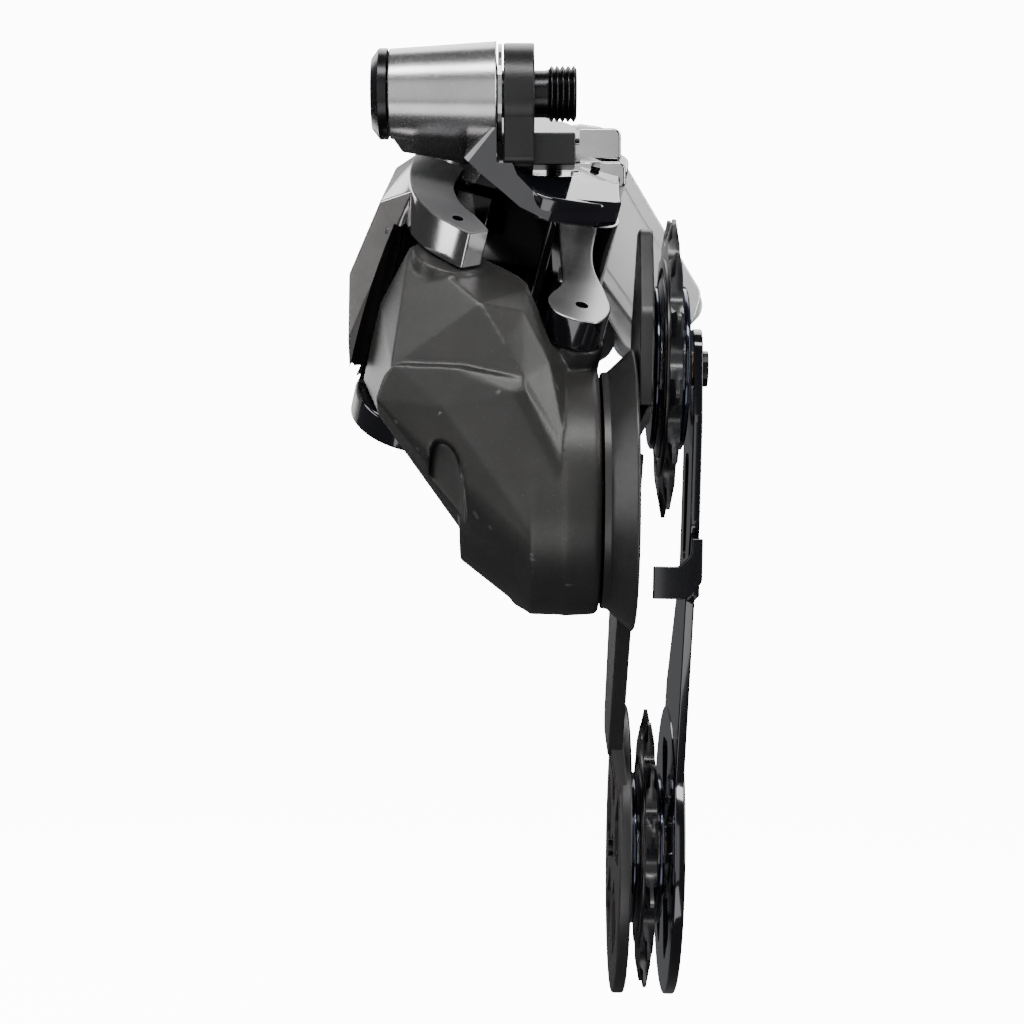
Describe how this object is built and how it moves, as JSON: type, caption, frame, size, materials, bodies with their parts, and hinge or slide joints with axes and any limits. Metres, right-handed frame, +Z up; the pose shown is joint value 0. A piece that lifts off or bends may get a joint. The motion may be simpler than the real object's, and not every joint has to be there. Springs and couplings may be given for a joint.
{
  "type": "rear bicycle derailleur",
  "caption": "Rear bicycle derailleur with a battery-driven parallelogram, sprung two-pulley cage and hanger bolt.",
  "frame": {"origin": "on the hanger bolt's axis, at the plane where the stop plate meets the hanger's outboard face", "axes": "+X inboard along the hanger bolt towards the wheel, +Y rearward, +Z up"},
  "size_m": [0.0697, 0.1079, 0.1839],
  "materials": {
    "graphite": "matte anodised",
    "silver": "satin with polished edges",
    "gloss_black": "gloss anodised",
    "satin_black": "satin anodised",
    "black_oxide": "black oxide",
    "light_grey": "pale gloss",
    "light_grey_metal": "satin",
    "steel": "machined",
    "bronze": "sintered",
    "polymer": "matt",
    "rubber": "matt",
    "green_board": "coated board",
    "lens": "clear",
    "pulley": "moulded",
    "ring_blue": "gloss anodised"
  },
  "bodies": {
    "hanger_mount": {"bracket_axle": "black_oxide", "stop_plate": "satin_black", "thrust_washer": "steel"},
    "base_knuckle": {"linkage_base": "gloss_black", "b_bush_inner": "bronze", "b_bush_outer": "bronze", "b_spring": "steel", "base_pin_outer": "steel", "base_pin_inner": "steel", "limit_screw_high": "steel", "limit_screw_low": "steel", "motor_housing": "satin_black", "motor_cover": "satin_black", "battery_mount": "light_grey", "cover_screw_1": "steel", "cover_screw_2": "steel", "motor": "steel", "circuit_board": "green_board", "battery_case": "light_grey", "battery_lid": "light_grey", "battery_cells": "steel", "latch_pin": "steel", "led_lens": "lens"},
    "outer_link": {"outer_link": "silver"},
    "inner_link": {"inner_link": "light_grey_metal"},
    "p_knuckle": {"knuckle_housing": "graphite", "knuckle_pin_outer": "steel", "knuckle_pin_inner": "steel", "cage_spring": "steel", "cage_bush": "bronze", "damper_body": "steel", "spring_cover": "satin_black", "knuckle_seal": "rubber"},
    "cage": {"cage_outer_plate": "graphite", "cage_inner_plate": "gloss_black", "cage_axle": "steel", "damper_rotor": "steel", "guide_bolt": "black_oxide", "guide_sleeve": "bronze", "tension_bolt": "black_oxide", "tension_sleeve": "bronze"},
    "guide_pulley": {"guide_wheel": "pulley", "guide_bearing": "steel", "guide_shield_outer": "ring_blue", "guide_shield_inner": "ring_blue"},
    "tension_pulley": {"tension_wheel": "pulley", "tension_bearing": "steel", "tension_shield_outer": "ring_blue", "tension_shield_inner": "ring_blue"},
    "b_tension_screw": {"b_tension_screw": "steel"},
    "battery_latch": {"battery_latch": "satin_black"},
    "function_button": {"function_button": "polymer"},
    "motor_pinion": {"motor_pinion": "steel"},
    "drive_gear": {"drive_gear": "bronze"}
  },
  "joints": [
    {"name": "b_pivot", "type": "hinge", "parent": "hanger_mount", "child": "base_knuckle", "pos_m": [0, 0, 0], "axis": [1, 0, 0], "range_deg": [0, 30]},
    {"name": "link_swing", "type": "hinge", "parent": "base_knuckle", "child": "outer_link", "pos_m": [-0.0151, 0.03589, -0.01876], "axis": [0.2199, -0.5197, 0.8256], "range_deg": [-4, 47]},
    {"name": "inner_link_swing", "type": "hinge", "parent": "base_knuckle", "child": "inner_link", "pos_m": [0.009, 0.03571, -0.02529], "axis": [0.2199, -0.5197, 0.8256], "range_deg": [-4.2, 47.2]},
    {"name": "p_knuckle_turn", "type": "hinge", "parent": "outer_link", "child": "p_knuckle", "pos_m": [-0.0181, 0.00039, -0.04031], "axis": [0.2199, -0.5197, 0.8256], "range_deg": [-47.2, 4.2]},
    {"name": "cage_swing", "type": "hinge", "parent": "p_knuckle", "child": "cage", "pos_m": [0.0113, 0.004, -0.0714], "axis": [1, 0, 0], "range_deg": [-70, 0], "stiffness_Nm_per_rad": 0.12, "springref_deg": 68.75},
    {"name": "guide_spin", "type": "hinge", "parent": "cage", "child": "guide_pulley", "pos_m": [0.0251, 0.0182, -0.0481], "axis": [0.9998, 0, -0.0209], "continuous": true},
    {"name": "tension_spin", "type": "hinge", "parent": "cage", "child": "tension_pulley", "pos_m": [0.02308, 0.0551, -0.1447], "axis": [0.9998, 0, -0.0209], "continuous": true},
    {"name": "b_screw_travel", "type": "slide", "parent": "base_knuckle", "child": "b_tension_screw", "axis": [0, 1, 0], "range_m": [0, 0.003]},
    {"name": "latch_open", "type": "hinge", "parent": "base_knuckle", "child": "battery_latch", "pos_m": [0.008, 0.0604, -0.00323], "axis": [-0.8599, 0, -0.5105], "range_deg": [-75, 0]},
    {"name": "button_press", "type": "slide", "parent": "base_knuckle", "child": "function_button", "axis": [0.8599, 0, 0.5105], "range_m": [0, 0.0006], "stiffness_N_per_m": 400, "springref_m": -0.0005},
    {"name": "pinion_spin", "type": "hinge", "parent": "base_knuckle", "child": "motor_pinion", "pos_m": [-0.00747, 0.0659, -0.01636], "axis": [0.5105, 0, -0.8599], "range_deg": [-11, 114]},
    {"name": "gear_spin", "type": "hinge", "parent": "base_knuckle", "child": "drive_gear", "pos_m": [-0.0036, 0.0659, -0.01406], "axis": [0.5105, 0, -0.8599], "range_deg": [-72, 7]}
  ],
  "couplings": [
    {"joint": "inner_link_swing", "follows": "link_swing", "ratio": 1},
    {"joint": "p_knuckle_turn", "follows": "link_swing", "ratio": -1},
    {"joint": "pinion_spin", "follows": "link_swing", "ratio": 2.4},
    {"joint": "gear_spin", "follows": "link_swing", "ratio": -1.5}
  ]
}
